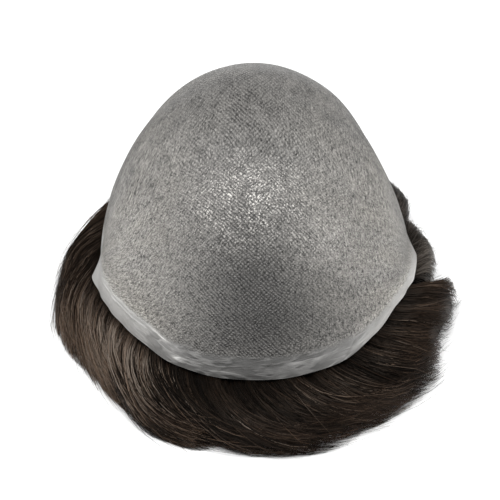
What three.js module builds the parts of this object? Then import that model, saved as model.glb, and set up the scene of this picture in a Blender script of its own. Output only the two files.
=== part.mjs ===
// Toupee hairpiece turned inside out: a thin net-and-poly base forms a dome with its scalp side out,
// a clear poly band edges its rim, and the hair comes out from under the rim in a swirl.
// Millimetres, +Z up. The near side, with the flared band, faces -Y.
import * as THREE from 'three';
import { mergeVertices } from 'three/addons/utils/BufferGeometryUtils.js';

// Driving dimensions of the base
const rimHalfWidth = 58.5;
const rimNearReach = 66;
const rimFarReach = 79;
const crownRise = 72.5;
const crownShift = new THREE.Vector3(-2, 1, 0);
const rimHeight = 14;
const rimTilt = 3.5;
const sideDent = 3;
const skinThickness = 1;

// Driving dimensions of the band
const bandWidth = 9;
const bandThickness = 1;
const bandFlare = 3;
const foldDepth = 0.5;
const foldsRound = 18;

// Driving dimensions of the hair
const hairAtCrown = 6;
const hairAtRim = 12;
const hairReach = 25;
const leastHairHeight = 1;
const tipUndercut = 1;
const grooveDepth = 1.6;
const insetGrooveShare = 0.5;
const tipNotch = 1.2;
const liningGroove = 1.2;

// Clearances between the pieces
const pieceGap = 0.3;
const sectionGap = 0.5;

// How the dome's plan and height close towards the crown, as powers of the cosine and sine, and how much
// its shoulders stand out, as a share of the plan
const planPower = 1.02;
const risePower = 1.05;
const shoulder = 0.025;
const crownRiseAngle = 90;

// Powers that shape the band's flare, the fall of the hair to its tips and the swirl on its way out
const flarePower = 1.5;
const fallRound = 2.4;
const fallPower = 0.6;
const swirlPower = 1.6;

// How fine the faceted surfaces are
const columnsPerLock = 4;
const liningLocks = 14;
const domeColumns = liningLocks * columnsPerLock;
const domeRows = 10;
const bandColumns = 2 * domeColumns;
const bandRows = 4;

// The rim as it goes round, by its bearing in degrees: dent is a share of sideDent and reaches up the wall,
// flare is a share of bandFlare and stays in the band
const rimShape = [
  { bearing: 0, dent: 0, flare: 0.75 },
  { bearing: 8, dent: -0.15, flare: 0.3 },
  { bearing: 16, dent: -0.45, flare: 0 },
  { bearing: 28, dent: -0.75, flare: 0 },
  { bearing: 52, dent: 0, flare: 0 },
  { bearing: 110, dent: 0, flare: 0 },
  { bearing: 142, dent: -0.5, flare: 0 },
  { bearing: 170, dent: 0.25, flare: 0 },
  { bearing: 178, dent: -0.1, flare: 0 },
  { bearing: 184, dent: 0, flare: 0.9 },
  { bearing: 195, dent: 0, flare: 0.1 },
  { bearing: 205, dent: -0.4, flare: 0 },
  { bearing: 216, dent: -0.85, flare: 0 },
  { bearing: 228, dent: -1, flare: 0 },
  { bearing: 244, dent: -0.4, flare: 0 },
  { bearing: 262, dent: 0, flare: 0 },
  { bearing: 285, dent: 0.05, flare: 0.4 },
  { bearing: 297, dent: 0.1, flare: 0.5 },
  { bearing: 314, dent: -0.1, flare: 0 },
  { bearing: 328, dent: -0.4, flare: 0 },
  { bearing: 339, dent: 0, flare: 0.05 },
  { bearing: 347, dent: 0, flare: 0.55 },
  { bearing: 360, dent: 0, flare: 0.75 },
];

// The hair outside the rim, one row for each section, counterclockwise. The start bearing is at the hair's
// inner edge, and swirl is how far the start line turns on its way out, both in degrees. Tip and bulge are
// shares of the height under the rim. The reaches are shares of hairReach, evenly spaced over the section.
const hairSections = [
  {
    name: 'hair_left', start: 100, swirl: 40, locks: 6, tip: 0.22, bulge: 0.14,
    reaches: [0.58, 0.56, 0.61, 0.67, 0.73, 0.75, 0.84],
  },
  {
    name: 'hair_near', start: 188, swirl: 44, locks: 6, tip: 0.14, bulge: 0.06,
    reaches: [0.84, 0.88, 0.98, 0.94, 0.89, 0.99, 1],
  },
  {
    name: 'hair_right', start: 262, swirl: 24, locks: 7, tip: 0.3, bulge: 0.04,
    reaches: [1, 0.86, 0.88, 0.89, 0.68, 0.72, 0.86],
  },
  {
    name: 'hair_right_tuft', start: 349, swirl: 10, locks: 2, tip: 0.5, bulge: 0.05,
    reaches: [0.38, 0.44, 0.46, 0.46, 0.43, 0.38, 0.3],
  },
  {
    name: 'hair_far_right_tuft', start: 376, swirl: 12, locks: 2, tip: 0.5, bulge: 0.05,
    reaches: [0.34, 0.5, 0.56, 0.56, 0.48, 0.42, 0.4],
  },
  {
    name: 'hair_far', start: 400, swirl: 14, locks: 5, tip: 0.3, bulge: 0.1,
    reaches: [0.48, 0.52, 0.58, 0.6, 0.6, 0.58, 0.58],
  },
];
const fullTurn = 360;

// The hair's rows from its inner edge to its tips: shares of the inset under the rim, then of the roll
// outside the flared band
const insetRows = [-1, -0.5, -0.05];
const rollRows = [0, 0.22, 0.42, 0.62, 0.8, 0.93, 1];

function smooth(share) {
  return share * share * (3 - 2 * share);
}

function rimShapeAt(bearing, column) {
  const turned = ((bearing % fullTurn) + fullTurn) % fullTurn;
  const next = rimShape.findIndex((row) => row.bearing > turned);
  const before = rimShape[next - 1];
  const after = rimShape[next];
  const share = smooth((turned - before.bearing) / (after.bearing - before.bearing));
  return THREE.MathUtils.lerp(before[column], after[column], share);
}

// Plan radius of the base's wall at the rim, along a bearing, with its side dents
function wallRadius(bearing) {
  const angle = THREE.MathUtils.degToRad(bearing);
  const length = Math.sin(angle) < 0 ? rimNearReach : rimFarReach;
  const ellipse = 1 / Math.hypot(Math.cos(angle) / rimHalfWidth, Math.sin(angle) / length);
  return ellipse + sideDent * rimShapeAt(bearing, 'dent');
}

// Height of the rim above the surface along a bearing
function rimLevel(bearing) {
  const angle = THREE.MathUtils.degToRad(bearing);
  return rimHeight + rimTilt * Math.cos(angle);
}

function polar(bearing, radius, height) {
  const angle = THREE.MathUtils.degToRad(bearing);
  return new THREE.Vector3(radius * Math.cos(angle), radius * Math.sin(angle), height);
}

// A point of the dome at a rise of 0 to 90 degrees, a depth inside the base's outer face
function domePoint(bearing, rise, depth) {
  const angle = THREE.MathUtils.degToRad(rise);
  const stand = 1 + shoulder * Math.sin(4 * angle - Math.PI);
  const plan = stand * Math.max(Math.cos(angle), 0) ** planPower;
  const lift = Math.sin(angle) ** risePower;
  const radius = (wallRadius(bearing) - depth) * plan;
  const level = rimLevel(bearing) * (1 - lift) + (rimHeight + crownRise - depth) * lift;
  return polar(bearing, radius, level).addScaledVector(crownShift, lift);
}

// The rise of the dome whose wall stands a given height over the rim
function riseAtHeight(height) {
  return THREE.MathUtils.radToDeg(Math.asin((height / crownRise) ** (1 / risePower)));
}

// A closed body from columns of stations. Each column is a closed loop of points. The columns close on
// themselves, or else the first and last are capped across, first half against second half.
function loopBody(columns, closesRound) {
  const stations = columns[0].length;
  const count = columns.length;
  const positions = columns.flat().flatMap((point) => point.toArray());
  const triangles = [];
  const quad = (a, b, c, d) => triangles.push([a, b, c], [a, c, d]);
  const spans = closesRound ? count : count - 1;
  for (let i = 0; i < spans; i += 1) {
    const here = i * stations;
    const next = ((i + 1) % count) * stations;
    for (let k = 0; k < stations; k += 1) {
      const up = (k + 1) % stations;
      quad(here + k, next + k, next + up, here + up);
    }
  }
  if (!closesRound) {
    const last = (count - 1) * stations;
    for (let k = 0; k < stations / 2 - 1; k += 1) {
      const across = stations - 1 - k;
      quad(k, k + 1, across - 1, across);
      quad(last + across, last + across - 1, last + k + 1, last + k);
    }
  }
  return outwardGeometry(positions, triangles);
}

// Joins equal points, drops the triangles that close up at a pole, and turns the faces outward
function outwardGeometry(positions, triangles) {
  const loose = new THREE.BufferGeometry();
  loose.setAttribute('position', new THREE.Float32BufferAttribute(positions, 3));
  loose.setIndex(triangles.flat());
  const joined = mergeVertices(loose);
  const points = joined.getAttribute('position');
  const corners = [0, 1, 2].map(() => new THREE.Vector3());
  const kept = [];
  let volume = 0;
  for (let i = 0; i < joined.index.count; i += 3) {
    const [a, b, c] = [0, 1, 2].map((step) => joined.index.getX(i + step));
    if (a === b || b === c || c === a) continue;
    [a, b, c].forEach((vertex, step) => corners[step].fromBufferAttribute(points, vertex));
    volume += corners[0].dot(corners[1].clone().cross(corners[2])) / 6;
    kept.push([a, b, c]);
  }
  joined.setIndex((volume < 0 ? kept.map(([a, b, c]) => [a, c, b]) : kept).flat());
  joined.computeVertexNormals();
  return joined;
}

function evenBearings(count) {
  return Array.from({ length: count }, (_, i) => (fullTurn * i) / count);
}

// The rises of the dome's rows, from just above the band to the crown
function domeRises() {
  const lowest = riseAtHeight(bandWidth + pieceGap);
  const rise = (row) => THREE.MathUtils.lerp(lowest, crownRiseAngle, row / domeRows);
  return Array.from({ length: domeRows + 1 }, (_, row) => rise(row));
}

// The base: a shell from just above the band to the crown
function baseSkin() {
  const rises = domeRises();
  const columns = evenBearings(domeColumns).map((bearing) => [
    ...rises.map((rise) => domePoint(bearing, rise, 0)),
    ...rises.toReversed().map((rise) => domePoint(bearing, rise, skinThickness)),
  ]);
  return loopBody(columns, true);
}

// The band: a strip round the rim that flares on the near half and is puckered with small folds there
function perimeterBand() {
  const columns = evenBearings(bandColumns).map((bearing) => {
    const flare = bandFlare * rimShapeAt(bearing, 'flare');
    const nearShare = Math.max(0, -Math.sin(THREE.MathUtils.degToRad(bearing)));
    const fold = foldDepth * nearShare * Math.sin(THREE.MathUtils.degToRad(bearing * foldsRound));
    const heights = Array.from({ length: bandRows + 1 }, (_, row) => (bandWidth * row) / bandRows);
    const point = (height, depth) => {
      const down = 1 - height / bandWidth;
      const out = flare * down ** flarePower + Math.max(0, fold) * Math.sin(Math.PI * down);
      const onWall = domePoint(bearing, riseAtHeight(height), depth);
      return onWall.add(polar(bearing, out, 0));
    };
    return [
      ...heights.map((height) => point(height, 0)),
      ...heights.toReversed().map((height) => point(height, bandThickness)),
    ];
  });
  return loopBody(columns, true);
}

// A lock's cross-section: 0 in the grooves between locks and 1 on the crest
function lockCrest(position) {
  const across = 2 * (position - Math.floor(position)) - 1;
  return 1 - across * across;
}

// The hair on the inner side of the base, thicker towards the rim, combed in locks
function hairLining() {
  const outside = Math.max(skinThickness, bandThickness) + pieceGap;
  const rises = [0, ...domeRises()];
  const columns = evenBearings(domeColumns).map((bearing) => {
    const groove = liningGroove * (1 - lockCrest((bearing / fullTurn) * liningLocks));
    return [
      ...rises.map((rise) => domePoint(bearing, rise, outside)),
      ...rises.toReversed().map((rise) => {
        const share = rise / crownRiseAngle;
        const thickness = THREE.MathUtils.lerp(hairAtRim, hairAtCrown, share) - groove * (1 - share);
        const inner = domePoint(bearing, rise, outside + thickness);
        return rise === 0 ? inner.setZ(rimLevel(bearing)) : inner;
      }),
    ];
  });
  return loopBody(columns, true);
}

// A smooth line through evenly spaced values
function throughValues(values, share) {
  const line = new THREE.SplineCurve(values.map((value, i) => new THREE.Vector2(i, value)));
  return line.getPoint(share).y;
}

// How far the hair goes in under the rim
function hairInset() {
  return Math.max(skinThickness, bandThickness) + pieceGap + hairAtRim;
}

// Height of the hair's top at a distance out from the rim, before its grooves
function hairTop(section, bearing, out, reach) {
  const under = rimLevel(bearing) - pieceGap;
  const share = Math.max(0, (out - bandFlare) / (reach - bandFlare));
  const fall = (1 - share ** fallRound) ** fallPower;
  const bulge = section.bulge * Math.sin(Math.PI * share);
  return under * (section.tip + (1 - section.tip) * fall + bulge);
}

// A section of the hair round the rim: locks on one backing that lies on the surface
function hairSection(section, next) {
  const inset = hairInset();
  const width = inset + hairReach;
  const nextStart = next.start + (next.start < section.start ? fullTurn : 0);
  const lastColumn = section.locks * columnsPerLock;
  const columns = Array.from({ length: lastColumn + 1 }, (_, i) => {
    const share = i / lastColumn;
    const crest = lockCrest(share * section.locks);
    const start = THREE.MathUtils.lerp(section.start, nextStart, share);
    const swirl = THREE.MathUtils.lerp(section.swirl, next.swirl, share);
    const reach = hairReach * throughValues(section.reaches, share) - tipNotch * (1 - crest);
    const side = share === 0 ? 1 : share === 1 ? -1 : 0;
    const outs = [
      ...insetRows.map((row) => row * inset),
      ...rollRows.map((row) => THREE.MathUtils.lerp(bandFlare, reach, row)),
    ];
    const place = (out, height) => {
      const across = Math.max(0, (out + inset) / width);
      const bearing = start + swirl * across ** swirlPower;
      const radius = wallRadius(bearing) + out;
      const turned = (swirl * swirlPower * across ** (swirlPower - 1)) / width;
      const slant = Math.hypot(1, radius * THREE.MathUtils.degToRad(turned));
      const gap = THREE.MathUtils.radToDeg((sectionGap / 2 / radius) * slant);
      const settled = bearing + side * gap;
      return polar(settled, wallRadius(settled) + out, height(settled));
    };
    const top = outs.map((out) => place(out, (bearing) => {
      const raised = hairTop(section, bearing, out, reach);
      const groove = grooveDepth * (1 - crest) * (out > 0 ? 1 : insetGrooveShare);
      return Math.max(raised - groove, leastHairHeight);
    }));
    const bottom = outs.map((out) => place(Math.min(out, reach - tipUndercut), () => 0));
    return [...top, ...bottom.toReversed()];
  });
  return loopBody(columns, false);
}

function mesh(name, geometry, material) {
  const piece = new THREE.Mesh(geometry, material);
  piece.name = name;
  return piece;
}

const skinMaterial = new THREE.MeshStandardMaterial({ color: 0x8a8886, roughness: 0.55, metalness: 0 });
const bandMaterial = new THREE.MeshStandardMaterial({ color: 0xa5a29d, roughness: 0.3, metalness: 0 });
const hairMaterial = new THREE.MeshStandardMaterial({ color: 0x332a24, roughness: 0.5, metalness: 0 });

const hairpiece = new THREE.Group();
hairpiece.add(mesh('base_skin', baseSkin(), skinMaterial));
hairpiece.add(mesh('perimeter_band', perimeterBand(), bandMaterial));
hairpiece.add(mesh('hair_lining', hairLining(), hairMaterial));
hairSections.forEach((section, i) => {
  const next = hairSections[(i + 1) % hairSections.length];
  hairpiece.add(mesh(section.name, hairSection(section, next), hairMaterial));
});

// The origin is under the middle of the whole piece, on the surface
const bounds = new THREE.Box3().setFromObject(hairpiece);
const middle = bounds.getCenter(new THREE.Vector3());
hairpiece.position.set(-middle.x, -middle.y, -bounds.min.z);

export default hairpiece;
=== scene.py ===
# Toupee hairpiece lying turned inside out: a grey net-and-poly dome, its clear band, and swirled dark hair.
import math

import bmesh
import bpy
import numpy as np
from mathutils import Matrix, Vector


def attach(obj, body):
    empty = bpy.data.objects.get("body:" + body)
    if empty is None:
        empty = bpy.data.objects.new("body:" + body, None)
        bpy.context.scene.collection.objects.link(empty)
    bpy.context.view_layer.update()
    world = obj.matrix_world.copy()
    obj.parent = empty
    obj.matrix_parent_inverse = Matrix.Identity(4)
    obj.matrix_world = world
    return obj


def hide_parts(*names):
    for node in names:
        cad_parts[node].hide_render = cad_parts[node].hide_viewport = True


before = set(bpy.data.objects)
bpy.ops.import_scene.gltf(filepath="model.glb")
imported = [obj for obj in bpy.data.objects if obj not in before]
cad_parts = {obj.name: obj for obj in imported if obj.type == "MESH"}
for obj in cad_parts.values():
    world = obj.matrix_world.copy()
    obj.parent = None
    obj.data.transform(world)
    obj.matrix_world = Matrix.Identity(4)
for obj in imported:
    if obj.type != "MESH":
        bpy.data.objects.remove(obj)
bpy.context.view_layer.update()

# The base, in metres, as the CAD has it
RIM_HALF_WIDTH = 0.0585
RIM_NEAR_REACH = 0.066
RIM_FAR_REACH = 0.079
CROWN_RISE = 0.0725
CROWN_SHIFT = np.array([-0.002, 0.001])
RIM_HEIGHT = 0.014
RIM_TILT = 0.0035
SIDE_DENT = 0.003
SKIN_THICKNESS = 0.001
PLAN_POWER = 1.02
RISE_POWER = 1.05
SHOULDER = 0.025

# The band and the hair
BAND_WIDTH = 0.009
BAND_THICKNESS = 0.0008
BAND_FLARE = 0.003
PIECE_GAP = 0.0003
SEAM_GAP = 0.00002
HAIR_REACH = 0.025
HAIR_AT_CROWN = 0.006
HAIR_AT_RIM = 0.012
NET_PITCH = 0.0011
TOP_EDGE = -0.03
TOP_DRAW = 0.62
SKIN_TONE = 0.130

# The rim by bearing: dent as a share of SIDE_DENT, flare as a share of BAND_FLARE. The rows from 184
# degrees round to 8 follow what a scratch program worked out from points on the photo's rim.
RIM_SHAPE = np.array([
    (0, 0, 0.75), (8, -0.15, 0.3), (16, -0.45, 0), (28, -0.75, 0), (52, 0, 0), (110, 0, 0),
    (142, -0.5, 0), (170, 0.25, 0), (178, -0.1, 0), (184, 0, 0.9), (195, 0, 0.1), (205, -0.4, 0),
    (216, -0.85, 0), (228, -1, 0), (244, -0.4, 0), (262, 0, 0), (285, 0.05, 0.4), (297, 0.1, 0.5),
    (314, -0.1, 0), (328, -0.4, 0), (339, 0, 0.05), (347, 0, 0.55), (360, 0, 0.75),
])

# The hair's sections as the CAD has them: the start bearing, the swirl, the height of the tips and the bulge
# of the roll as shares of the height under the rim, and the reaches as shares of HAIR_REACH. The reaches
# follow what a scratch program printed from the photo's outline.
HAIR_SECTIONS = [
    dict(zip(("start", "swirl", "tip", "bulge", "reaches"), row))
    for row in (
        (100, 40, 0.22, 0.14, (0.58, 0.56, 0.61, 0.67, 0.73, 0.75, 0.84)),
        (188, 44, 0.14, 0.06, (0.84, 0.88, 0.98, 0.94, 0.89, 0.99, 1)),
        (262, 24, 0.30, 0.04, (1, 0.86, 0.88, 0.89, 0.68, 0.72, 0.86)),
        (349, 10, 0.50, 0.05, (0.38, 0.44, 0.46, 0.46, 0.43, 0.38, 0.3)),
        (376, 12, 0.50, 0.05, (0.34, 0.5, 0.56, 0.56, 0.48, 0.42, 0.4)),
        (400, 14, 0.30, 0.10, (0.48, 0.52, 0.58, 0.6, 0.6, 0.58, 0.58)),
    )
]
SECTION_EDGE = 0.4

# How strands run, by the bearing where they leave the rim: the turn on their way out in degrees, and the
# powers that shape their way out and their turning. They were read off by eye from bearings that a scratch
# program printed for strands traced on the photo.
HAIR_FLOW = np.array([
    (0, 12, 1.2, 1.6), (40, 14, 1.2, 1.5), (70, 26, 1.4, 1.3), (100, 40, 1.6, 1.1), (130, 52, 1.8, 1.0),
    (150, 50, 1.3, 1.0), (163, 54, 1.05, 1.0), (180, 48, 1.2, 1.0), (200, 40, 1.6, 1.1), (217, 36, 1.9, 1.15),
    (230, 33, 2.0, 1.1), (248, 27, 2.1, 1.2), (266, 23, 2.0, 1.4), (288, 19, 1.8, 1.8), (304, 16, 1.5, 1.9),
    (320, 12, 1.3, 1.8), (335, 15, 1.3, 1.6), (348, 10, 1.2, 1.5), (360, 12, 1.2, 1.6),
])

# The hair's tone by bearing, and how far its strands differ. Part of the tone is painted light: painted sheen
# where the hair at the left and near left is much lighter, and painted shade in the hollow by 246 degrees.
# This and the band's tones were set by trial beside the average colours of regions of the photo.
HAIR_TONE_AND_PAINTED_LIGHT = np.array([
    (0, 0.48, 1), (60, 0.48, 1), (150, 0.56, 1.2), (175, 0.52, 1.2), (186, 0.53, 1.2), (198, 0.79, 2.0),
    (215, 0.87, 2.3), (231, 0.86, 2.3), (239, 0.70, 1.6), (246, 0.30, 1), (256, 0.38, 1), (275, 0.38, 1),
    (300, 0.46, 1), (318, 0.48, 0.7), (330, 0.49, 0.55), (350, 0.55, 0.55), (360, 0.48, 1),
])

# The band's tone by bearing: paler where it stands clear of the dark hair
BAND_SHADE = np.array([
    (0, 0.36), (60, 0.22), (120, 0.22), (180, 0.40), (205, 0.49), (222, 0.40), (238, 0.24), (255, 0.115),
    (272, 0.085), (285, 0.10), (300, 0.155), (315, 0.40), (332, 0.60), (350, 0.47), (360, 0.36),
])

# Painted glints on the band's colour: bearing and half width in degrees, place and half height as shares of
# the way down, gain
BAND_GLINTS = [
    (233, 3, 0.04, 0.06, 1.2), (238, 2.5, 0.10, 0.06, 1.6), (245, 3, 0.62, 0.09, 1.6),
    (262, 8, 0.7, 0.12, 0.5), (282, 3, 0.45, 0.1, 0.7), (292, 3, 0.5, 0.1, 0.6),
    (303, 5, 0.75, 0.14, 0.9), (318, 10, 0.85, 0.2, 0.3),
]

# Creases along the strip's left: the bearings of their painted highlight lines and of their ridge, the half
# width in degrees, and their places as shares of the way down
CREASE_HIGHLIGHT_BEARING = 214
CREASE_RIDGE_BEARING = 212
CREASE_HALF_WIDTH = 20
CREASE_LOW = 0.24
CREASE_HIGH = 0.08
CREASE_RIDGE = 0.00028

# Where the net gives way to plain poly: the height over the rim in mm by bearing
NET_EDGE = np.array([
    (0, 3), (60, 6), (120, 6), (160, 6), (176, 10), (190, 9), (205, 8), (235, 8.5),
    (250, 7.5), (270, 7.5), (285, 6.5), (300, 5.5), (315, 4.5), (330, 3.5), (350, 3), (360, 3),
])

# The skin's tone by its distance across from the middle in mm, as a change. This table and the zones were set
# beside the photo's brightness over the render's, by place on the dome.
# Lighter towards the sides: partly the net looking denser where the skin turns away, partly painted sheen
SIDE_TONE_AND_SHEEN = np.array([
    (0, -0.05), (10, 0), (20, 0.18), (35, 0.42), (50, 0.58), (60, 0.66), (70, 0.55), (80, 0.35), (90, 0.25),
])

# Zones of the skin that change its tone: the darker ones where the hair behind shows through, with painted
# shade, and the lighter ones painted highlights and a painted reflection of the floor. Place across and along
# from the crown in mm, width and length in mm, and the change as a share
SKIN_SHADE_AND_HIGHLIGHT_ZONES = [
    (6, -92, 24, 19, -0.60), (2, -73, 16, 11, -0.45), (-60, -70, 24, 40, 0.35), (62, -75, 22, 40, 0.10),
    (29, -60, 11, 10, 0.36), (-2, -40, 15, 8, 0.2), (0, 10, 30, 10, -0.08), (0, -24, 11, 9, -0.10),
    (42, -57, 14, 18, -0.10), (30, -88, 14, 12, -0.14), (2, -57, 14, 6, -0.12), (0, 62, 70, 10, -0.15),
]

# The hair's pieces: the bearings where their strands leave the rim, how many strands and locks they have,
# the bearing of the far side where strands end bluntly, if they do, and how much lighter the piece is
HAIR_PIECES = [
    dict(zip(("node", "first", "last", "strands", "locks", "cut_end", "shade"), row))
    for row in (
        ("hair_left", 100, 188, 3100, 6, None, 0),
        ("hair_near", 188, 262, 3400, 6, None, 0),
        ("hair_right", 262, 345, 3300, 7, 354.5, 0),
        ("hair_right_tuft", 350, 376, 1400, 2, 387, 0.38),
        ("hair_far_right_tuft", 377, 396, 1000, 2, 408, 0.15),
        ("hair_far", 401, 460, 1900, 5, None, 0),
    )
]

# How far the strands' tips stay behind the section's edge, in mm by their bearing, set by trial against the
# difference of the photo's and the render's outlines
TIP_TRIM = np.array([
    (0, 0), (14, 0), (24, 1.2), (31, 1.2), (38, 0), (210, 0), (223, 0.8), (236, 2.0), (244, 3.2), (250, 0.6),
    (257, 0.2), (263, 3.0), (269, 0.8), (276, 0), (338, 0), (346, 1.0), (350, 1.6), (352.5, 1.5),
    (354.6, 2.6), (355.4, 0), (360, 0),
])

# How far out from the rim the hair's roots are shaded, in mm by bearing
ROOT_SHADE = np.array([
    (0, 7), (100, 6), (165, 5), (178, 9), (189, 9), (198, 4), (232, 3.5), (246, 9), (300, 8), (350, 7),
    (360, 7),
])

# Strands and clumps: tips keep TIP_MARGIN degrees inside their section, and each clump takes CLUMP_SPAN
STRAND_POINTS = 10
STRAND_SIDES = 3
STRAND_RADIUS = 0.00015
FLYAWAY_SHARE = 0.07
FLYAWAY_RADIUS = 0.00009
TIP_MARGIN = 0.5
TIP_WARMTH = 0.6
TUFT_REDNESS = -0.5
LOCK_GROOVE = 0.0016
CLUMP_SPAN = 1.3
KNOT_SPAN = 4
LIT_SHARE = 0.17
LOW_SHARE = 0.3

# The backing under the strands, near black as painted shade in the depth of the hair: how far it draws in
# from the section's outside and top, and in degrees from a blunt far side and from a tuft's start
BACKING_INSET = 0.0048
BACKING_DROP = 0.0028
BACKING_SHADE_TONE = 0.03
CUT_MARGIN = 3.5
START_MARGIN = 5

# The combed hair inside the dome: the turn of its locks from rim to crown in degrees, and their grooves
LINING_SWIRL = 60
LINING_GROOVE = 0.0009

# The camera, fitted to the photograph's outline and rounded
CAMERA_ELEVATION = 38.0
CAMERA_DISTANCE = 0.65
CAMERA_LENS = 124.3
AIM_LEFT = 0.00173
AIM_UP = 0.00452

crown = max((v.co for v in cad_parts["base_skin"].data.vertices), key=lambda co: co.z)
AXIS = np.array([crown.x, crown.y]) - CROWN_SHIFT


def set_tips():
    """Gives each piece the two bearings that its strands' tips lie between."""
    for piece, section in zip(HAIR_PIECES, HAIR_SECTIONS):
        piece["tips"] = [section["start"] + section["swirl"]]
    for piece, after in zip(HAIR_PIECES, HAIR_PIECES[1:] + HAIR_PIECES[:1]):
        first, last = piece["tips"][0], after["tips"][0]
        piece["tips"].append(last + (360 if last < first else 0))


def outline_table():
    """Reach, tip and bulge by the bearing of the tips, from the sections' own rows."""
    rows = []
    for index, section in enumerate(HAIR_SECTIONS):
        after = HAIR_SECTIONS[(index + 1) % len(HAIR_SECTIONS)]
        blend = 1 if section["tip"] < 0.3 or after["tip"] < 0.3 else 0
        first = section["start"] + section["swirl"]
        last = after["start"] + after["swirl"]
        last += 360 if last < first else 0
        count = len(section["reaches"]) - 1
        for step, reach in enumerate(section["reaches"]):
            bearing = first + (last - first) * step / count
            bearing += SECTION_EDGE if step == 0 else -SECTION_EDGE if step == count else 0
            share = blend * (step / count) ** 2
            tip = section["tip"] + (after["tip"] - section["tip"]) * share
            bulge = section["bulge"] + (after["bulge"] - section["bulge"]) * share
            rows.append((bearing, reach, tip, bulge))
    rows.append((rows[0][0] + 360, *rows[0][1:]))
    return np.array(rows)


def table_at(table, bearing, column):
    """A smooth value from a table of bearings, which goes round."""
    turned = np.mod(np.asarray(bearing, float) - table[0, 0], 360.0) + table[0, 0]
    after = np.clip(np.searchsorted(table[:, 0], turned, side="right"), 1, len(table) - 1)
    low, high = table[after - 1], table[after]
    share = np.clip((turned - low[..., 0]) / (high[..., 0] - low[..., 0]), 0, 1)
    share = share * share * (3 - 2 * share)
    return low[..., column] + (high[..., column] - low[..., column]) * share


HAIR_FORM = outline_table()


def bell(value, middle, width, power=2):
    """1 at the middle, falling off smoothly on both sides."""
    return np.exp(-(((value - middle) / width) ** power))


def wall_radius(bearing):
    angle = np.radians(bearing)
    length = np.where(np.sin(angle) < 0, RIM_NEAR_REACH, RIM_FAR_REACH)
    ellipse = 1 / np.hypot(np.cos(angle) / RIM_HALF_WIDTH, np.sin(angle) / length)
    return ellipse + SIDE_DENT * table_at(RIM_SHAPE, bearing, 1)


def rim_level(bearing):
    return RIM_HEIGHT + RIM_TILT * np.cos(np.radians(bearing))


def polar(bearing, radius, height):
    angle = np.radians(bearing)
    parts = np.broadcast_arrays(AXIS[0] + radius * np.cos(angle), AXIS[1] + radius * np.sin(angle), height)
    return np.stack(parts, -1)


def dome_point(bearing, rise, depth):
    """A point of the dome at a rise in degrees, a depth inside its outer face."""
    angle = np.radians(rise)
    stand = 1 + SHOULDER * np.sin(4 * angle - math.pi)
    plan = stand * np.clip(np.cos(angle), 0, 1) ** PLAN_POWER
    lift = np.sin(angle) ** RISE_POWER
    level = rim_level(bearing) * (1 - lift) + (RIM_HEIGHT + CROWN_RISE - depth) * lift
    point = polar(bearing, (wall_radius(bearing) - depth) * plan, level)
    point[..., 0] += CROWN_SHIFT[0] * lift
    point[..., 1] += CROWN_SHIFT[1] * lift
    return point


def rise_at_height(height):
    return np.degrees(np.arcsin((height / CROWN_RISE) ** (1 / RISE_POWER)))


def waves(places, seed, count, longest, shortest):
    """Smooth noise of about -1 to 1 as a sum of waves in random directions."""
    dice = np.random.default_rng(seed)
    total = np.zeros(places.shape[:-1])
    for _ in range(count):
        way = dice.normal(size=places.shape[-1])
        way *= 2 * math.pi / dice.uniform(shortest, longest) / np.linalg.norm(way)
        total += np.sin(places @ way + dice.uniform(0, 2 * math.pi))
    return total * math.sqrt(2 / count) / 1.5


def mesh_object(name, points, faces, smooth=True):
    """An object from an array of points and a list of index arrays, one for each size of face."""
    mesh = bpy.data.meshes.new(name)
    mesh.vertices.add(len(points))
    mesh.vertices.foreach_set("co", np.asarray(points, np.float32).ravel())
    corners = np.concatenate([group.ravel() for group in faces])
    sizes = np.concatenate([np.full(len(group), group.shape[1]) for group in faces])
    starts = np.concatenate([[0], np.cumsum(sizes)[:-1]])
    mesh.loops.add(len(corners))
    mesh.loops.foreach_set("vertex_index", corners.astype(np.int32))
    mesh.polygons.add(len(sizes))
    mesh.polygons.foreach_set("loop_start", starts.astype(np.int32))
    mesh.polygons.foreach_set("use_smooth", np.full(len(sizes), smooth))
    mesh.update(calc_edges=True)
    mesh.validate()
    made = bpy.data.objects.new(name, mesh)
    bpy.context.scene.collection.objects.link(made)
    return made


def grid_faces(columns, stations):
    """Quads of columns that go round and stations that close on themselves."""
    i, k = np.meshgrid(np.arange(columns), np.arange(stations), indexing="ij")
    right, up = (i + 1) % columns, (k + 1) % stations
    quads = np.stack([i * stations + k, right * stations + k, right * stations + up, i * stations + up], -1)
    return quads.reshape(-1, 4)


def vertex_value(made, name, values):
    layer = made.data.attributes.new(name, "FLOAT", "POINT")
    layer.data.foreach_set("value", np.asarray(values, np.float32).ravel())


def face_map(made, name, coordinates):
    """A UV map from a pair of values for each vertex."""
    layer = made.data.uv_layers.new(name=name)
    index = np.zeros(len(made.data.loops), np.int32)
    made.data.loops.foreach_get("vertex_index", index)
    layer.data.foreach_set("uv", np.asarray(coordinates, np.float32)[index].ravel())


def tidy(made):
    """Joins the points that meet at a pole and turns the faces outward."""
    shape = bmesh.new()
    shape.from_mesh(made.data)
    bmesh.ops.remove_doubles(shape, verts=shape.verts, dist=1e-7)
    bmesh.ops.recalc_face_normals(shape, faces=shape.faces)
    shape.to_mesh(made.data)
    shape.free()
    made.data.set_sharp_from_angle(angle=math.radians(40))


def add_piece(made, node, material):
    made.data.materials.append(material)
    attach(made, "root")
    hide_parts(node)


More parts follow.
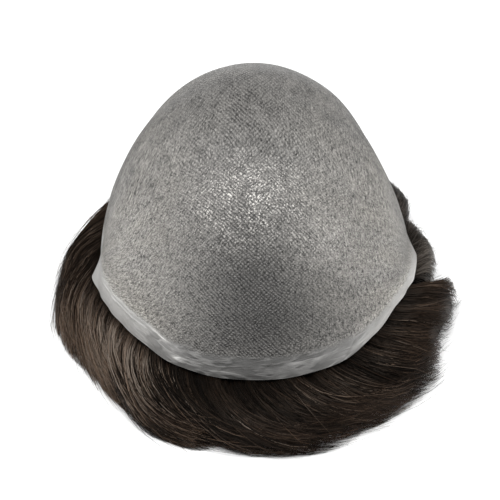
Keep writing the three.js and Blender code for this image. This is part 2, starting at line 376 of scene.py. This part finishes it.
class Shader:
    """A material's nodes, made one line at a time."""

    def __init__(self, name):
        self.material = bpy.data.materials.new(name)
        self.material.use_nodes = True
        self.tree = self.material.node_tree
        self.surface = self.tree.nodes["Principled BSDF"]

    def node(self, kind, inputs=(), **settings):
        made = self.tree.nodes.new(kind)
        for key, value in settings.items():
            setattr(made, key, value)
        for key, value in dict(inputs).items():
            self.feed(made.inputs[key], value)
        return made

    def feed(self, socket, value):
        if isinstance(value, bpy.types.NodeSocket):
            self.tree.links.new(value, socket)
        else:
            socket.default_value = value

    def maths(self, operation, *values, clamp=False):
        made = self.node("ShaderNodeMath", enumerate(values), operation=operation, use_clamp=clamp)
        return made.outputs[0]

    def vector(self, operation, first, second):
        made = self.node("ShaderNodeVectorMath", {0: first, 1: second}, operation=operation)
        return made.outputs[0]

    def value(self, name):
        return self.node("ShaderNodeAttribute", attribute_name=name).outputs["Fac"]

    def noise(self, vector, scale, detail=2.0, roughness=0.5):
        inputs = {"Vector": vector, "Scale": scale, "Detail": detail, "Roughness": roughness}
        return self.node("ShaderNodeTexNoise", inputs).outputs

    def ramp(self, share, *stops):
        made = self.node("ShaderNodeValToRGB", {"Fac": share})
        elements = made.color_ramp.elements
        while len(elements) < len(stops):
            elements.new(0.5)
        for element, (position, colour) in zip(elements, stops):
            element.position = position
            element.color = (*colour, 1)
        return made.outputs["Color"]

    def blend(self, first, second, share):
        made = self.node("ShaderNodeMix", {0: share, 2: first, 3: second}, data_type="FLOAT")
        return made.outputs[0]

    def mix(self, first, second, share):
        """A blend of two colours."""
        made = self.node("ShaderNodeMix", {0: share, 6: first, 7: second}, data_type="RGBA")
        return made.outputs[2]


def net_weave(shader):
    """Fine diamond net. Its UV map counts the net's threads along their two directions."""
    uv = shader.node("ShaderNodeUVMap", uv_map="net").outputs[0]
    drift = shader.noise(uv, 0.09, 5.0, 0.72)["Color"]
    wander = shader.vector("MULTIPLY", shader.vector("SUBTRACT", drift, (0.5, 0.5, 0.5)), (3.6, 3.6, 0.0))
    jitter = shader.vector("SUBTRACT", shader.noise(uv, 0.6, 1.0)["Color"], (0.5, 0.5, 0.5))
    wander = shader.vector("ADD", wander, shader.vector("MULTIPLY", jitter, (0.75, 0.75, 0.0)))
    threads = shader.vector("ADD", uv, wander)
    parts = shader.node("ShaderNodeSeparateXYZ", {0: threads}).outputs
    wave_one = shader.maths("COSINE", shader.maths("MULTIPLY", parts[0], 2 * math.pi))
    wave_two = shader.maths("COSINE", shader.maths("MULTIPLY", parts[1], 2 * math.pi))
    lean = shader.maths("MULTIPLY_ADD", shader.noise(uv, 0.07, 2.0)["Fac"], 1.4, -0.1, clamp=True)
    patchy = shader.maths("MULTIPLY_ADD", shader.noise(uv, 0.11, 3.0, 0.6)["Fac"], 3.2, -0.5, clamp=True)
    weave = shader.maths(
        "ADD",
        shader.maths("MULTIPLY", wave_one, lean),
        shader.maths("MULTIPLY", wave_two, shader.maths("SUBTRACT", 1.0, lean)),
    )
    dots = shader.maths("MULTIPLY", shader.maths("MULTIPLY", wave_one, wave_two), 0.4)
    weave = shader.maths("ADD", weave, dots)
    # Patches of painted glints inside the glint zone
    cluster = shader.maths("MULTIPLY_ADD", shader.noise(uv, 0.2, 3.0, 0.7)["Fac"], 5.0, -1.9, clamp=True)
    spark = shader.maths("MULTIPLY", cluster, shader.value("painted_glint_zone"))
    return shader.maths("MULTIPLY", weave, patchy), spark


def strip_marks(shader):
    """Soft streaks and broken crease lines that run along the edge strip; each crease is a bump with a
    painted highlight on its crest and painted shade beside it.
    """
    uv = shader.node("ShaderNodeUVMap", uv_map="strip").outputs[0]
    streak = shader.noise(shader.vector("MULTIPLY", uv, (0.5, 2.5, 1.0)), 1.0, 4.0, 0.6)["Fac"]
    streak = shader.maths("SUBTRACT", streak, 0.5)
    cloud = shader.maths("SUBTRACT", shader.noise(uv, 0.25, 2.0)["Fac"], 0.5)
    drawn = shader.vector("MULTIPLY", uv, (0.085, 0.42, 1.0))
    swell = shader.maths("SUBTRACT", shader.noise(drawn, 1.0, 2.0, 0.4)["Fac"], 0.5)
    # Painted highlight on each crease's crest and painted shade beside it, which also shape the bump
    lit_crest = shader.maths("MULTIPLY_ADD", shader.maths("ABSOLUTE", swell), -12.0, 1.0, clamp=True)
    beside = shader.maths("ABSOLUTE", shader.maths("ADD", swell, 0.1))
    shaded_trough = shader.maths("MULTIPLY_ADD", beside, -11.0, 0.7, clamp=True)
    crease = shader.maths("SUBTRACT", lit_crest, shader.maths("MULTIPLY", shaded_trough, 0.55))
    broken = shader.maths("MULTIPLY_ADD", shader.noise(uv, 0.13, 1.0)["Fac"], 6.0, -2.2, clamp=True)
    crease = shader.maths("MULTIPLY", crease, shader.maths("MULTIPLY", broken, shader.value("creased")))
    marks = shader.maths("ADD", shader.maths("MULTIPLY", streak, 0.7), shader.maths("MULTIPLY", cloud, 0.4))
    marks = shader.maths("MULTIPLY", marks, shader.maths("MULTIPLY_ADD", shader.value("creased"), 0.7, 0.35))
    return shader.maths("ADD", marks, crease), shader.maths("ADD", streak, crease)


def base_material(name):
    """Net in glossy poly that turns raggedly into the plain clear poly of the edge strip."""
    shader = Shader(name)
    flat = shader.node("ShaderNodeUVMap", uv_map="cloth").outputs[0]
    clarity = shader.value("clarity")
    weave, spark = net_weave(shader)
    stretched = shader.vector("MULTIPLY", flat, (1.8, 0.37, 1.0))
    fibre = shader.maths("SUBTRACT", shader.noise(stretched, 1.0, 2.0, 0.85)["Fac"], 0.5)
    coarse = shader.vector("MULTIPLY", flat, (0.8, 0.22, 1.0))
    tuft = shader.maths("SUBTRACT", shader.noise(coarse, 1.0, 2.0, 0.7)["Fac"], 0.5)
    cells = {"Vector": shader.vector("MULTIPLY", flat, (3.3, 2.3, 1.0)), "Scale": 1.0}
    speck = shader.maths("ADD", shader.node("ShaderNodeTexVoronoi", cells).outputs["Color"], 0.0)
    grain = shader.maths("SUBTRACT", speck, 0.5)
    blotch = shader.maths("SUBTRACT", shader.noise(flat, 0.12, 5.0, 0.8)["Fac"], 0.5)
    furry = shader.maths("ADD", shader.maths("MULTIPLY", fibre, 5.4), shader.maths("MULTIPLY", tuft, 0.8))
    furry = shader.maths("MULTIPLY", furry, shader.maths("SUBTRACT", 1.6, clarity))
    furry = shader.maths("ADD", furry, shader.maths("MULTIPLY", grain, 2.6))
    furry = shader.maths("MULTIPLY", furry, shader.value("fur"))
    woven = shader.maths("MULTIPLY", weave, shader.value("netting"))
    relief = shader.maths("ADD", woven, furry)
    patches = shader.maths("MULTIPLY", blotch, shader.value("mottle"))
    level = shader.maths("ADD", shader.maths("MULTIPLY", relief, 0.5), patches)
    level = shader.maths("MAXIMUM", shader.maths("ADD", level, 1.0), 0.12)
    # Painted glints: bright specks added to the net's colour
    glint = shader.maths("MULTIPLY_ADD", speck, 9.0, -5.2, clamp=True)
    glint = shader.maths("MULTIPLY", glint, shader.maths("MULTIPLY_ADD", weave, 0.9, 0.7, clamp=True))
    glint = shader.maths("MULTIPLY", glint, spark)
    level = shader.maths("MULTIPLY_ADD", glint, 3.9, level)
    ragged = shader.maths("SUBTRACT", shader.noise(flat, 0.3, 4.0, 0.75)["Fac"], 0.5)
    above = shader.maths("MULTIPLY_ADD", ragged, 7.0, shader.value("above"))
    netted = shader.maths("MULTIPLY", above, 0.45, clamp=True)
    flow = shader.maths("MULTIPLY_ADD", above, 0.12, 0.25, clamp=True)
    marks, raised = strip_marks(shader)
    plain = shader.blend(shader.value("edge_tone_and_glints"), shader.value("tone"), flow)
    level = shader.blend(shader.maths("ADD", marks, 1.0), level, netted)
    bright = shader.maths("MULTIPLY", plain, level)
    warm = shader.maths("MULTIPLY_ADD", shader.noise(flat, 0.06, 2.0)["Fac"], 1.6, -0.35, clamp=True)
    warm = shader.maths("MULTIPLY", warm, shader.value("warmth"))
    black = (0.0, (0.0, 0.0, 0.0))
    grey = shader.ramp(bright, black, (1.0, (1.0, 0.965, 0.915)))
    beige = shader.ramp(bright, black, (1.0, (1.0, 0.95, 0.85)))
    clear = shader.ramp(bright, black, (1.0, (1.0, 0.985, 0.955)))
    colour = shader.mix(clear, shader.mix(grey, beige, warm), netted)
    height = shader.blend(raised, relief, netted)
    bump = shader.node("ShaderNodeBump", {"Strength": 0.6, "Distance": 0.0002, "Height": height})
    shader.feed(shader.surface.inputs["Base Color"], colour)
    shader.feed(shader.surface.inputs["Normal"], bump.outputs[0])
    rough = shader.maths("MULTIPLY_ADD", fibre, 0.4, shader.blend(0.6, 0.36, clarity), clamp=True)
    shader.feed(shader.surface.inputs["Roughness"], shader.blend(0.3, rough, netted))
    shader.surface.inputs["Specular IOR Level"].default_value = 0.4
    return shader.material


def hair_material():
    """Dark brown hair, lighter and redder where a strand's own tone is high."""
    shader = Shader("dark_hair")
    tone = shader.value("tone")
    # The pale greyish top of the ramp colours the painted highlights that high tones carry
    colour = shader.ramp(
        tone,
        (0.0, (0.0010, 0.0007, 0.0005)),
        (0.35, (0.0066, 0.0044, 0.0030)),
        (0.65, (0.034, 0.0238, 0.0172)),
        (0.88, (0.113, 0.088, 0.070)),
        (1.0, (0.21, 0.175, 0.145)),
    )
    red = shader.value("red")
    reddish = shader.ramp(
        tone,
        (0.0, (0.0012, 0.0006, 0.0003)),
        (0.5, (0.02, 0.011, 0.0068)),
        (1.0, (0.17, 0.11, 0.073)),
    )
    ashen = shader.ramp(
        tone,
        (0.0, (0.0009, 0.0008, 0.0007)),
        (0.5, (0.014, 0.013, 0.012)),
        (1.0, (0.15, 0.142, 0.13)),
    )
    colour = shader.mix(colour, reddish, red)
    colour = shader.mix(colour, ashen, shader.maths("MULTIPLY", red, -1.0, clamp=True))
    shader.feed(shader.surface.inputs["Base Color"], colour)
    rough = shader.maths("MULTIPLY_ADD", tone, -8.0, 1.0)
    shader.feed(shader.surface.inputs["Roughness"], shader.maths("MAXIMUM", rough, 0.36))
    shader.surface.inputs["Specular IOR Level"].default_value = 0.13
    shader.surface.inputs["Specular Tint"].default_value = (1.0, 0.9, 0.8, 1)
    return shader.material


def net_coordinates(points):
    """The net's thread counts at points of the dome: the net lies diagonally over it."""
    sides = points[..., 0] - AXIS[0] - CROWN_SHIFT[0]
    depth = points[..., 1] - AXIS[1]
    length = np.where(depth < 0, RIM_NEAR_REACH, RIM_FAR_REACH)
    unit = np.stack([sides / RIM_HALF_WIDTH, depth / length, (points[..., 2] - RIM_HEIGHT) / CROWN_RISE], -1)
    unit /= np.linalg.norm(unit, axis=-1, keepdims=True)
    across = RIM_HALF_WIDTH * np.arcsin(np.clip(unit[..., 0], -1, 1))
    along = CROWN_RISE * np.arctan2(unit[..., 1], unit[..., 2])
    drawn = np.where(along > TOP_EDGE, TOP_EDGE + (along - TOP_EDGE) * TOP_DRAW, along)
    counts = np.stack([across + drawn, across - drawn], -1) / (math.sqrt(2) * NET_PITCH)
    return counts, across, along, drawn


def dress_base(made, points, bearing, height):
    """The maps and values that the base's material reads. The height is over the rim, in metres."""
    counts, across, along, drawn = net_coordinates(points)
    straight = points[..., 0] - AXIS[0]
    lean = (0.1 - 0.25 * np.tanh(straight / 0.04)) * along
    strip = np.stack(np.broadcast_arrays(np.radians(bearing) * 62, height * 1000), -1)
    face_map(made, "net", counts.reshape(-1, 2))
    face_map(made, "cloth", np.stack([straight - lean, drawn], -1).reshape(-1, 2) * 1000)
    face_map(made, "strip", strip.reshape(-1, 2))
    # Lighter towards the sides, partly painted sheen
    side = np.interp(np.abs(across) * 1000, SIDE_TONE_AND_SHEEN[:, 0], SIDE_TONE_AND_SHEEN[:, 1])
    tone = SKIN_TONE * (1 + side * np.clip((0.015 - along) / 0.045, 0, 1))
    # The zones paint highlights, a reflection of the floor and shade into the skin's tone
    for place_x, place_y, width, length, change in SKIN_SHADE_AND_HIGHLIGHT_ZONES:
        zone = bell(across * 1000, place_x, width) * bell(along * 1000, place_y, length)
        tone = tone * (1 + change * zone)
    clarity = np.clip(1.2 - np.abs(across) / 0.042, 0.1, 1)
    down = 1 - height / BAND_WIDTH
    # The band's tone by bearing, with a painted highlight along its lower edge
    edge_tone_and_glints = table_at(BAND_SHADE, bearing, 1) * (1 + 0.2 * bell(height, 0, 0.0006))
    # Painted highlights along the two creases, with a line of painted shade between them
    painted_crease_lines = 0.5 * bell(down, CREASE_LOW, 0.03) + 0.6 * bell(down, CREASE_HIGH, 0.03)
    painted_crease_lines = painted_crease_lines - 0.45 * bell(down, (CREASE_LOW + CREASE_HIGH) / 2, 0.03)
    along_left = bell(bearing, CREASE_HIGHLIGHT_BEARING, CREASE_HALF_WIDTH, 4)
    edge_tone_and_glints = edge_tone_and_glints * (1 + 0.5 * along_left * painted_crease_lines)
    # Painted glints on the band's tone
    for place, width, level, half_height, gain in BAND_GLINTS:
        glint = bell(bearing, place, width) * bell(down, level, half_height)
        edge_tone_and_glints = edge_tone_and_glints * (1 + gain * glint)
    dense = bell(across, 0.004, 0.026) * bell(along, -0.09, 0.024)
    right = np.clip((across - 0.03) / 0.03, 0, 1)
    sides = np.clip((np.abs(across) - 0.055) / 0.02, 0, 1)
    values = {
        "tone": tone,
        "edge_tone_and_glints": edge_tone_and_glints,
        "clarity": clarity,
        "mottle": 1.0 + 1.5 * np.clip((along + 0.03) / 0.03, 0, 1),
        "warmth": np.clip(1.1 - clarity + 0.5 * np.clip((along - 0.01) / 0.04, 0, 1), 0, 1),
        "netting": clarity * (0.95 + 0.65 * dense),
        "fur": 1 - 0.08 * right - 0.3 * sides,
        # the zone round the skin's highlight where glints are painted
        "painted_glint_zone": bell(across, 0, 0.019) * bell(along, -0.046, 0.017),
        "above": height * 1000 - table_at(NET_EDGE, bearing, 1),
        "creased": 0.1 + 0.8 * bell(bearing, 268, 38, 4),
    }
    for name, value in values.items():
        vertex_value(made, name, np.broadcast_to(value, across.shape))


def make_skin(material):
    columns, outer_rows, inner_rows = 288, 84, 16
    bearing = np.arange(columns)[:, None] * 360.0 / columns
    lowest = rise_at_height(BAND_WIDTH + SEAM_GAP)
    outer = dome_point(bearing, np.linspace(lowest, 90, outer_rows)[None], 0.0)
    inner = dome_point(bearing, np.linspace(90, lowest, inner_rows)[None], SKIN_THICKNESS)
    middle = np.array([AXIS[0], AXIS[1], RIM_HEIGHT])
    outward = outer - middle
    outward /= np.linalg.norm(outward, axis=-1, keepdims=True)
    fade = np.clip(np.linspace(0, 6, outer_rows), 0, 1)[None]
    outer += outward * (waves(outer, 3, 14, 0.05, 0.018) * fade * 0.00022)[..., None]
    points = np.concatenate([outer, inner], axis=1)
    made = mesh_object("net_base", points.reshape(-1, 3), [grid_faces(columns, outer_rows + inner_rows)])
    rows = np.concatenate([np.linspace(lowest, 90, outer_rows), np.linspace(90, lowest, inner_rows)])
    height = CROWN_RISE * np.sin(np.radians(rows)) ** RISE_POWER
    dress_base(made, points, bearing, height[None])
    tidy(made)
    add_piece(made, "base_skin", material)


def make_band(material):
    columns, rows = 720, 20
    bearing = np.arange(columns)[:, None] * 360.0 / columns
    down = np.linspace(1, 0, rows)[None]
    height = BAND_WIDTH * (1 - down)
    flare = BAND_FLARE * table_at(RIM_SHAPE, bearing, 2) * down ** 1.5
    near = np.clip(-np.sin(np.radians(bearing)), 0, 1)
    turns = np.radians(bearing)
    pucker = np.sin(18 * turns) * 0.6 + np.sin(31 * turns + 1.3) * 0.4
    fold = 0.0004 * near * np.clip(pucker, 0, 1) * np.sin(np.pi * down)
    slant = np.sin(47 * turns + 9 * down) * np.sin(13 * turns + 2.1)
    crease = 0.00022 * near * np.clip(slant, 0, 1) ** 3 * np.sin(np.pi * down)
    along_left = bell(bearing, CREASE_RIDGE_BEARING, CREASE_HALF_WIDTH, 4)
    ridge = bell(down, CREASE_LOW, 0.05) + 0.8 * bell(down, CREASE_HIGH, 0.04)
    ridge = CREASE_RIDGE * along_left * ridge
    out = flare + fold + crease + ridge
    outer = dome_point(bearing, rise_at_height(height), 0.0)
    inner = dome_point(bearing, rise_at_height(height[:, ::-1]), BAND_THICKNESS)
    way = np.stack([np.cos(turns), np.sin(turns), np.zeros_like(turns)], -1)
    outer += way * out[..., None]
    inner += way * (BAND_FLARE * table_at(RIM_SHAPE, bearing, 2) * down[:, ::-1] ** 1.5)[..., None]
    points = np.concatenate([outer, inner], axis=1)
    made = mesh_object("poly_band", points.reshape(-1, 3), [grid_faces(columns, 2 * rows)])
    dress_base(made, points, bearing, np.concatenate([height, height[:, ::-1]], 1))
    tidy(made)
    add_piece(made, "perimeter_band", material)


def tip_reach(end):
    return HAIR_REACH * table_at(HAIR_FORM, end, 1) - table_at(TIP_TRIM, end, 1) / 1000


def hair_top(bearing, out, end):
    """Height of the hair's top at a distance out from the rim, for strands whose tips are at a bearing."""
    reach = tip_reach(end)
    tip = table_at(HAIR_FORM, end, 2)
    bulge = table_at(HAIR_FORM, end, 3)
    share = np.clip((out - BAND_FLARE) / (reach - BAND_FLARE), 0, 1)
    fall = (1 - share ** 2.4) ** 0.6
    return (rim_level(bearing) - PIECE_GAP) * (tip + (1 - tip) * fall + bulge * np.sin(np.pi * share))


def strand_paths(piece, count, dice):
    """Paths of strands, a row of points each, in clumps that draw together on their way."""
    span = piece["last"] - piece["first"]
    clumps = max(4, int(span / CLUMP_SPAN))
    clump = dice.integers(0, clumps, count)
    clump_turn = dice.normal(0, 2.0, clumps)[clump]
    clump_reach = dice.normal(0, 0.05, clumps)[clump]
    clump_depth = np.abs(dice.normal(0, 0.0009, clumps))[clump]
    clump_tone = dice.normal(0, 0.06, clumps)[clump]
    near_cut = (clump > clumps * 0.88) & (piece["cut_end"] is not None)
    flyaway = (dice.uniform(0, 1, count) < FLYAWAY_SHARE) & ~near_cut
    s = np.linspace(0, 1, STRAND_POINTS)[None]
    centre = piece["first"] + (clump + 0.5) * span / clumps
    beside = dice.uniform(-1.1, 1.1, count)[:, None] * span / clumps
    root = np.clip(centre[:, None] + beside, piece["first"], piece["last"])
    gather = 1 - dice.uniform(0, 0.45, clumps)[clump][:, None] * np.sin(np.pi * s ** 0.8) ** 1.2
    start = centre[:, None] + (root - centre[:, None]) * gather
    turn = table_at(HAIR_FLOW, centre, 1) * (1 + 0.02 * clump_turn) + dice.normal(0, 1.7, count)
    turn = (turn + np.where(flyaway, dice.normal(2, 8, count), 0))[:, None]
    settle = table_at(HAIR_FLOW, centre, 2)[:, None]
    bend = table_at(HAIR_FLOW, centre, 3)[:, None]
    way = np.broadcast_to(s, (count, STRAND_POINTS))
    if piece["cut_end"] is not None:
        left = np.clip((piece["cut_end"] - start[:, :1]) / turn, 0.02, 1)
        way = s * left ** (1 / bend)
    bearing = start + turn * way ** bend
    end = np.clip(bearing[:, -1:], piece["tips"][0] + TIP_MARGIN, piece["tips"][1] - TIP_MARGIN)
    reach = tip_reach(end)
    first = -0.003 - 0.004 * dice.uniform(0, 1, count)[:, None]
    length = (dice.uniform(0.58, 1.0, count) ** 0.35 + 0.6 * clump_reach)[:, None]
    over = np.where(flyaway, dice.uniform(0, 0.22, count), 0)[:, None]
    outward = 1 - (1 - way) ** settle
    out = first + (reach * np.minimum(length + over * way ** 2, 1.03 + over) - first) * outward
    top = hair_top(bearing, out, end)
    lock = (start - piece["first"]) / span * piece["locks"]
    groove = 1 - np.abs(np.sin(np.pi * lock)) ** 0.6
    depth = clump_depth + 0.0026 * dice.uniform(0, 1, count) ** 2.2
    depth = depth[:, None] * (0.4 + 0.6 * np.sin(np.pi * np.clip(way, 0, 1)))
    low = (dice.uniform(0, 1, count) < LOW_SHARE) * dice.uniform(0.2, 0.95, count)
    height = top - depth - LOCK_GROOVE * groove - low[:, None] * top * way ** 2
    under = np.minimum(height, rim_level(bearing) - PIECE_GAP - STRAND_RADIUS)
    height = np.where(out < BAND_FLARE * 1.2, under, height)
    lift = np.where(flyaway, dice.uniform(0, 0.004, count), 0)[:, None] * way ** 2
    height = np.maximum(height + lift, 0.0004)
    root_shade = np.clip((out - 0.0002) / (table_at(ROOT_SHADE, start, 1) / 1000), 0.0, 1) ** 0.8
    # Lit strands: painted highlights, a lighter tone on a share of the strands
    lit = np.where(dice.uniform(0, 1, count) < LIT_SHARE, dice.uniform(0.08, 0.4, count), 0)
    contrast = table_at(HAIR_TONE_AND_PAINTED_LIGHT, centre, 2)
    knots = np.linspace(piece["first"], piece["last"], max(3, round(span / KNOT_SPAN)))
    clump_tone = clump_tone + np.interp(centre, knots, dice.normal(0, 0.11, len(knots)))
    own = contrast * (clump_tone + dice.normal(-0.05, 0.2, count)) + lit * np.minimum(contrast, 1)
    # The table paints sheen and shade by bearing, and strands in the grooves between locks get painted shade
    tone = table_at(HAIR_TONE_AND_PAINTED_LIGHT, bearing, 1) + piece["shade"] + own[:, None] - 0.2 * groove
    tone = np.clip(tone, 0.02, 1) * (0.58 + 0.42 * root_shade)
    red = np.clip(dice.normal(0.2, 0.3, count), 0, 1) * (dice.uniform(0, 1, count) < 0.5)
    fair = dice.uniform(0, 1, count) > 0.997
    red = np.where(fair, 1, red)
    red = red[:, None] + TIP_WARMTH * way ** 3
    if "tuft" in piece["node"]:
        red = np.full(way.shape, TUFT_REDNESS)
    tone = np.where(fair[:, None], 0.66, tone)
    blunt = near_cut & (dice.uniform(0, 1, count) < 0.12)
    tone[:, -1] = np.where(blunt, 0.88, tone[:, -1])
    return polar(bearing, wall_radius(bearing) + out, height), tone, red, flyaway


def strand_mesh(paths, tone, radius):
    """Thin tubes along paths: their points, quads, end triangles and a tone for each point."""
    count, steps, _ = paths.shape
    ahead = np.gradient(paths, axis=1)
    ahead /= np.maximum(np.linalg.norm(ahead, axis=-1, keepdims=True), 1e-9)
    side = np.cross(ahead, np.array([0.0, 0.0, 1.0]))
    side /= np.maximum(np.linalg.norm(side, axis=-1, keepdims=True), 1e-9)
    over = np.cross(side, ahead)
    taper = np.interp(np.linspace(0, 1, steps), [0, 0.6, 1], [1, 0.95, 0.3])[None, :, None]
    around = np.radians(90 + 360 * np.arange(STRAND_SIDES) / STRAND_SIDES)
    rings = [paths + radius * taper * (math.cos(a) * side + math.sin(a) * over) for a in around]
    points = np.stack(rings, axis=2).reshape(-1, 3)
    first = (np.arange(count) * steps * STRAND_SIDES)[:, None, None]
    i, k = np.meshgrid(np.arange(steps - 1), np.arange(STRAND_SIDES), indexing="ij")
    right = (k + 1) % STRAND_SIDES
    here, there = i * STRAND_SIDES, (i + 1) * STRAND_SIDES
    quads = np.stack([here + k, here + right, there + right, there + k], -1)[None] + first[..., None]
    root = np.array([2, 1, 0])[None] + first[:, 0]
    tip = np.array([0, 1, 2])[None] + (steps - 1) * STRAND_SIDES + first[:, 0]
    tones = np.repeat(tone[..., None], STRAND_SIDES, axis=2)
    return points, quads.reshape(-1, 4), np.concatenate([root, tip]), tones.ravel()


def backing_mesh(piece):
    """The CAD section drawn in a little, as the mass under the strands, coloured near black as painted shade.
    """
    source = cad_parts[piece["node"]].data
    points = np.zeros(len(source.vertices) * 3)
    source.vertices.foreach_get("co", points)
    points = points.reshape(-1, 3)
    source.calc_loop_triangles()
    faces = np.zeros(len(source.loop_triangles) * 3, np.int32)
    source.loop_triangles.foreach_get("vertices", faces)
    faces = faces.reshape(-1, 3)
    joined, back = np.unique(np.round(points, 7), axis=0, return_inverse=True)
    faces = back.reshape(-1)[faces]
    middle = np.array([AXIS[0], AXIS[1], 0.0])
    flat = joined - middle
    radius = np.hypot(flat[:, 0], flat[:, 1])
    bearing = np.degrees(np.arctan2(flat[:, 1], flat[:, 0]))
    wall = wall_radius(bearing)
    outside = np.clip((radius - wall) / HAIR_REACH, 0, 1)
    if piece["cut_end"] is not None:
        along = np.mod(bearing - piece["first"] + 20, 360) - 20
        span = piece["last"] + 12 - piece["first"]
        bearing = bearing - CUT_MARGIN * np.clip(along / span, 0, 1)
        if "tuft" in piece["node"]:
            bearing = bearing + START_MARGIN * np.clip(1 - along / span, 0, 1)
    drawn = polar(bearing, radius - BACKING_INSET * outside, joined[:, 2])
    lowered = np.maximum(joined[:, 2] - BACKING_DROP, 0.0006)
    drawn[:, 2] = np.where(joined[:, 2] > 0.0005, lowered, 0.0002)
    keep = (faces[:, 0] != faces[:, 1]) & (faces[:, 1] != faces[:, 2]) & (faces[:, 2] != faces[:, 0])
    return drawn, faces[keep]


def make_hair(piece, material):
    dice = np.random.default_rng(int(piece["first"]))
    paths, tone, red, flyaway = strand_paths(piece, piece["strands"], dice)
    radius = np.where(flyaway, FLYAWAY_RADIUS, STRAND_RADIUS * dice.uniform(0.7, 1.15, piece["strands"]))
    radius = radius[:, None, None]
    points, quads, ends, tones = strand_mesh(paths, tone, radius)
    backing, triangles = backing_mesh(piece)
    every = np.concatenate([points, backing])
    triangles = np.concatenate([ends, triangles + len(points)])
    made = mesh_object("strands_" + piece["node"], every, [quads, triangles])
    vertex_value(made, "tone", np.concatenate([tones, np.full(len(backing), BACKING_SHADE_TONE)]))
    reds = np.repeat(red.ravel(), STRAND_SIDES)
    vertex_value(made, "red", np.concatenate([reds, np.zeros(len(backing))]))
    add_piece(made, piece["node"], material)


def make_lining(material):
    """The combed hair inside the dome, in locks that swirl down to the rim."""
    columns, rows = 252, 40
    bearing = np.arange(columns)[:, None] * 360.0 / columns
    outside = SKIN_THICKNESS + PIECE_GAP
    rise = np.linspace(0, 90, rows)[None]
    share = rise / 90
    turned = np.radians(bearing + LINING_SWIRL * share)
    locks = np.sin(turned * 42) * 0.5 + np.sin(turned * 18 + 1) * 0.5
    depth = outside + HAIR_AT_RIM + (HAIR_AT_CROWN - HAIR_AT_RIM) * share
    depth = depth - LINING_GROOVE * (1 - locks) * (1 - share)
    outer = dome_point(bearing, rise, outside)
    inner = dome_point(bearing, rise[:, ::-1], depth[:, ::-1])
    inner[:, -1, 2] = rim_level(bearing)[:, 0]
    points = np.concatenate([outer, inner], axis=1)
    made = mesh_object("combed_lining", points.reshape(-1, 3), [grid_faces(columns, 2 * rows)])
    tone = np.concatenate([np.full((columns, rows), 0.2), 0.35 + 0.15 * locks[:, ::-1]], axis=1)
    vertex_value(made, "tone", tone)
    vertex_value(made, "red", np.zeros(tone.shape))
    tidy(made)
    add_piece(made, "hair_lining", material)


def make_camera():
    data = bpy.data.cameras.new("photo_camera")
    data.lens = CAMERA_LENS
    data.sensor_width = 36.0
    camera = bpy.data.objects.new("photo_camera", data)
    elevation = math.radians(CAMERA_ELEVATION)
    forward = Vector((0, math.cos(elevation), -math.sin(elevation)))
    up = Vector((0, math.sin(elevation), math.cos(elevation)))
    middle = Vector((AXIS[0], AXIS[1], RIM_HEIGHT))
    camera.location = middle - forward * CAMERA_DISTANCE
    aim = middle - Vector((1, 0, 0)) * AIM_LEFT + up * AIM_UP
    camera.rotation_mode = "QUATERNION"
    camera.rotation_quaternion = (aim - camera.location).to_track_quat("-Z", "Y")
    bpy.context.scene.collection.objects.link(camera)
    bpy.context.scene.camera = camera


def area_light(name, place, width, depth, power):
    data = bpy.data.lights.new(name, "AREA")
    data.shape = "RECTANGLE"
    data.size = width
    data.size_y = depth
    data.energy = power
    made = bpy.data.objects.new(name, data)
    made.location = place
    made.rotation_mode = "QUATERNION"
    made.rotation_quaternion = (Vector((0, 0, 0.04)) - Vector(place)).to_track_quat("-Z", "Y")
    bpy.context.scene.collection.objects.link(made)


def make_studio():
    world = bpy.data.worlds.new("studio")
    world.use_nodes = True
    world.node_tree.nodes["Background"].inputs["Color"].default_value = (1, 1, 1, 1)
    world.node_tree.nodes["Background"].inputs["Strength"].default_value = 0.4
    bpy.context.scene.world = world
    area_light("softbox_above", (0.0, -0.24, 0.95), 1.0, 0.55, 11)
    area_light("softbox_right", (0.85, -0.2, 0.45), 0.5, 0.5, 3)
    area_light("softbox_left", (-0.85, -0.1, 0.5), 0.5, 0.5, 3)
    half = 3.0
    corners = np.array([(-half, -half, 0), (half, -half, 0), (half, half, 0), (-half, half, 0)])
    floor = mesh_object("floor", corners, [np.array([[0, 1, 2, 3]])], smooth=False)
    shader = Shader("pale_floor")
    shader.surface.inputs["Base Color"].default_value = (0.9, 0.9, 0.9, 1)
    shader.surface.inputs["Roughness"].default_value = 0.9
    floor.data.materials.append(shader.material)
    bpy.context.scene.view_settings.view_transform = "Standard"


set_tips()
make_camera()
make_studio()
make_skin(base_material("net_skin"))
make_band(base_material("clear_band"))
hair = hair_material()
make_lining(hair)
for piece in HAIR_PIECES:
    make_hair(piece, hair)
